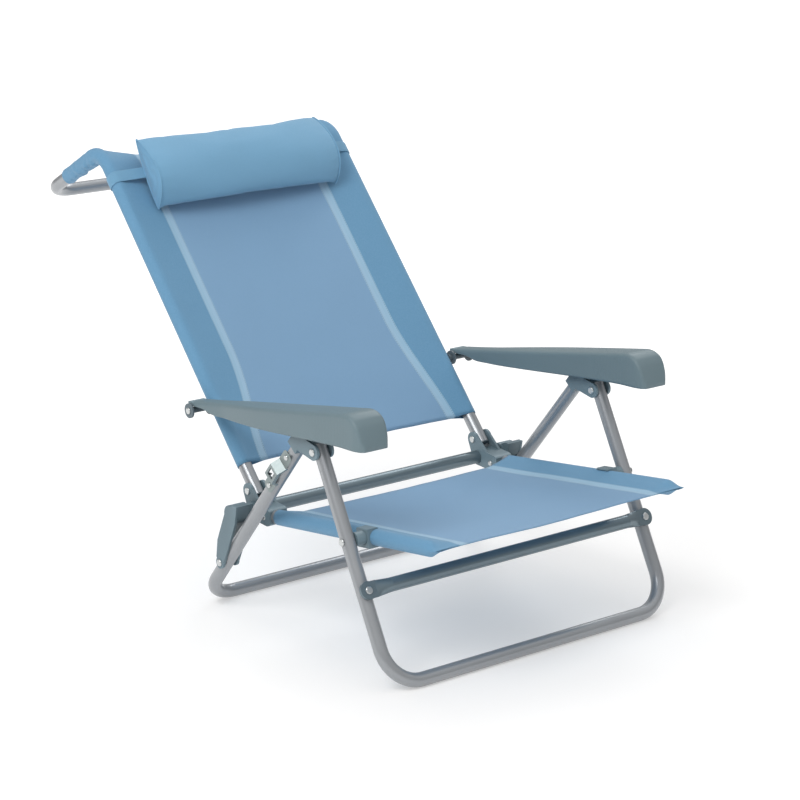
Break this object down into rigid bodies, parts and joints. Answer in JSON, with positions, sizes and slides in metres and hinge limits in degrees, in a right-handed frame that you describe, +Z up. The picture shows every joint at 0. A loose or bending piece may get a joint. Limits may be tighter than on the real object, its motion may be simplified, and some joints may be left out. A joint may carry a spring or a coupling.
{
  "type": "folding beach chair",
  "caption": "Low folding beach chair with tube legs, moulded armrests on notches, mesh seat and back, carry handle, bottle opener and sliding head pillow.",
  "frame": {"origin": "on the floor under the middle of the front foot bar", "axes": "+Z up, the chair faces -Y, +X is the sitter's left"},
  "size_m": [0.6166, 1.0863, 0.7017],
  "materials": {
    "frame_paint": "satin silver-grey powder coat",
    "crossbar_paint": "satin blue-grey powder coat",
    "bracket_plastic": "fine-grained blue-grey moulding",
    "armrest_plastic": "fine-grained blue-grey moulding",
    "plug_plastic": "dark moulding",
    "rivet_steel": "bright zinc-plated steel",
    "zinc_plate": "zinc-plated stamped steel",
    "seat_cloth": "woven coated mesh, light blue",
    "back_cloth": "woven coated mesh, light blue",
    "pillow_cloth": "woven cover with piped ends",
    "strap_cloth": "elastic webbing"
  },
  "bodies": {
    "rear_frame": {"rear_leg_frame": "frame_paint", "hinge_bracket_left": "bracket_plastic", "hinge_bracket_right": "bracket_plastic", "leg_hinge_rivets": "rivet_steel", "link_rivets": "rivet_steel", "bottle_opener": "zinc_plate", "opener_rivets": "rivet_steel", "armrest_pins": "rivet_steel"},
    "front_frame": {"front_leg_frame": "frame_paint", "front_leg_plugs": "plug_plastic", "front_crossbar": "crossbar_paint", "crossbar_rivets": "rivet_steel", "seat_spacers": "bracket_plastic", "seat_pivot_bolts": "rivet_steel"},
    "seat": {"seat_pivot_blocks": "bracket_plastic", "seat_tube_left": "frame_paint", "seat_tube_right": "frame_paint", "rear_crossbar": "crossbar_paint", "seat_bracket_left": "bracket_plastic", "seat_bracket_right": "bracket_plastic", "seat_bracket_rivets": "rivet_steel", "seat_fabric": "seat_cloth", "back_pivot_rivets": "rivet_steel"},
    "rear_links": {"rear_link_left": "bracket_plastic", "rear_link_right": "bracket_plastic"},
    "backrest": {"backrest_tube": "frame_paint", "backrest_plugs": "plug_plastic", "spool_left": "plug_plastic", "spool_right": "plug_plastic", "spool_rivets": "rivet_steel", "back_fabric": "back_cloth"},
    "armrests": {"armrest_left": "armrest_plastic", "armrest_right": "armrest_plastic"},
    "pillow": {"pillow": "pillow_cloth", "pillow_strap": "strap_cloth"}
  },
  "joints": [
    {"name": "fold", "type": "hinge", "parent": "rear_frame", "child": "front_frame", "pos_m": [0, 0.172, 0.336], "axis": [1, 0, 0], "range_deg": [0, 67]},
    {"name": "link_turn", "type": "hinge", "parent": "rear_frame", "child": "rear_links", "pos_m": [0, 0.4254, 0.092], "axis": [1, 0, 0], "range_deg": [-124.16, 0]},
    {"name": "seat_turn", "type": "hinge", "parent": "rear_links", "child": "seat", "pos_m": [0, 0.401, 0.1774], "axis": [1, 0, 0], "range_deg": [0, 97.75]},
    {"name": "back_turn", "type": "hinge", "parent": "seat", "child": "backrest", "pos_m": [0, 0.4133, 0.2053], "axis": [1, 0, 0], "range_deg": [0, 96]},
    {"name": "armrest_lift", "type": "hinge", "parent": "rear_frame", "child": "armrests", "pos_m": [0, 0.19, 0.366], "axis": [1, 0, 0], "range_deg": [0, 27.5]},
    {"name": "pillow_slide", "type": "slide", "parent": "backrest", "child": "pillow", "axis": [0, -0.6678, -0.7443], "range_m": [0, 0.12], "stiffness_N_per_m": 60, "springref_m": -0.1}
  ],
  "couplings": [
    {"joint": "link_turn", "follows": "fold", "ratio": -1.8457},
    {"joint": "seat_turn", "follows": "fold", "ratio": 1.4515},
    {"joint": "armrest_lift", "follows": "back_turn", "ratio": 0.28125}
  ]
}
